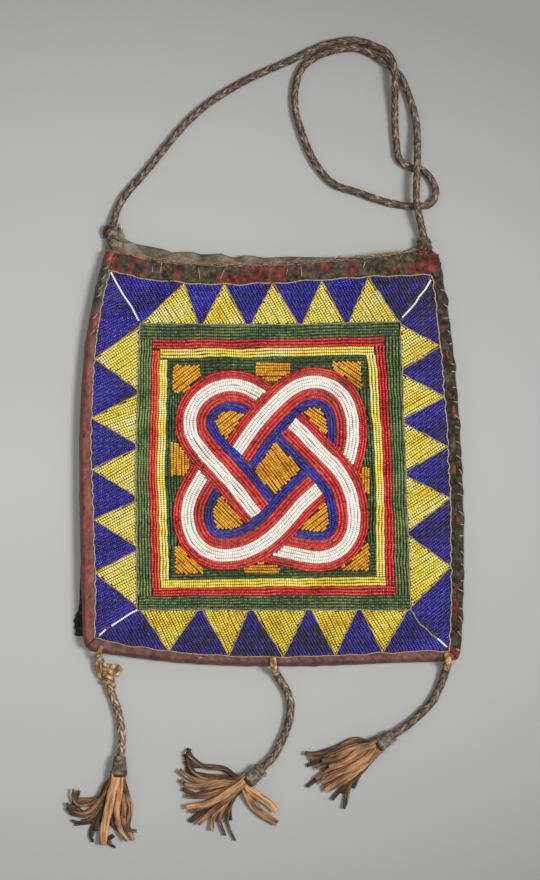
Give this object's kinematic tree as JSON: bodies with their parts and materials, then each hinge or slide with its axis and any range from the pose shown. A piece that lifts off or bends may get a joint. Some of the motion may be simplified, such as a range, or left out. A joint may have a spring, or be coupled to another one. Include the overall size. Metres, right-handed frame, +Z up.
{
  "type": "diviners bag",
  "caption": "Flat leather and cloth shoulder bag, open at the top, its front covered with rows of glass beads in a knot and toothed border, with a braided strap and fringed tassels.",
  "frame": {"origin": "on the table under the middle of the bag, strap and tassels left out", "axes": "+Z up out of the beaded face, +Y towards the mouth, +X to the right seen from above"},
  "size_m": [0.2995, 0.6091, 0.0134],
  "materials": {
    "back_leather": "worn grey-brown suede side",
    "front_cloth": "coarse dark cloth under the beads",
    "mouth_felt": "moth-eaten red and dark green felt patches",
    "left_leather": "red-brown leather with red felt spots",
    "right_felt": "dark green felt with tan whip stitches",
    "foot_leather": "smooth red-brown leather with red slits",
    "yellow_beads": "opaque glass seed beads",
    "blue_beads": "opaque glass seed beads",
    "green_beads": "dark green glass seed beads",
    "red_beads": "opaque glass seed beads",
    "white_beads": "opaque glass seed beads",
    "orange_beads": "opaque glass seed beads",
    "strap_leather": "braided brown leather",
    "thong_leather": "light tan leather thong",
    "tab_leather": "dark folded leather",
    "collar_leather": "dark grey wrapped leather",
    "fringe_leather": "cut tan leather strips"
  },
  "bodies": {
    "root": {"back_panel": "back_leather", "front_panel": "front_cloth", "left_binding": "left_leather", "right_binding": "right_felt", "foot_binding": "foot_leather", "mouth_binding": "mouth_felt", "yellow_triangles_top": "yellow_beads", "blue_border_top": "blue_beads", "yellow_triangles_right": "yellow_beads", "blue_border_right": "blue_beads", "yellow_triangles_foot": "yellow_beads", "blue_border_foot": "blue_beads", "yellow_triangles_left": "yellow_beads", "blue_border_left": "blue_beads", "green_frame": "green_beads", "red_frame": "red_beads", "yellow_frame": "yellow_beads", "green_ground": "green_beads", "orange_corner_top_left": "orange_beads", "orange_lobe_top_left": "orange_beads", "orange_corner_top_right": "orange_beads", "orange_lobe_top_right": "orange_beads", "orange_corner_foot_right": "orange_beads", "orange_lobe_foot_right": "orange_beads", "orange_corner_foot_left": "orange_beads", "orange_lobe_foot_left": "orange_beads", "orange_middle_top": "orange_beads", "orange_middle_right": "orange_beads", "orange_middle_foot": "orange_beads", "orange_middle_left": "orange_beads", "orange_centre": "orange_beads", "knot_top_left_outer_red": "red_beads", "knot_top_left_white": "white_beads", "knot_top_left_inner_red": "red_beads", "knot_top_left_blue": "blue_beads", "knot_top_right_outer_red": "red_beads", "knot_top_right_white": "white_beads", "knot_top_right_inner_red": "red_beads", "knot_top_right_blue": "blue_beads", "knot_foot_right_outer_red": "red_beads", "knot_foot_right_white": "white_beads", "knot_foot_right_inner_red": "red_beads", "knot_foot_right_blue": "blue_beads", "knot_foot_left_outer_red": "red_beads", "knot_foot_left_white": "white_beads", "knot_foot_left_inner_red": "red_beads", "knot_foot_left_blue": "blue_beads", "strap": "strap_leather", "left_strap_tab": "tab_leather", "right_strap_tab": "tab_leather", "left_tassel_cord": "strap_leather", "left_tassel_collar": "collar_leather", "left_tassel_fringe": "fringe_leather", "middle_tassel_cord": "strap_leather", "middle_tassel_collar": "collar_leather", "middle_tassel_fringe": "fringe_leather", "right_tassel_cord": "strap_leather", "right_tassel_collar": "collar_leather", "right_tassel_fringe": "fringe_leather", "left_tassel_thong": "thong_leather"}
  },
  "joints": []
}
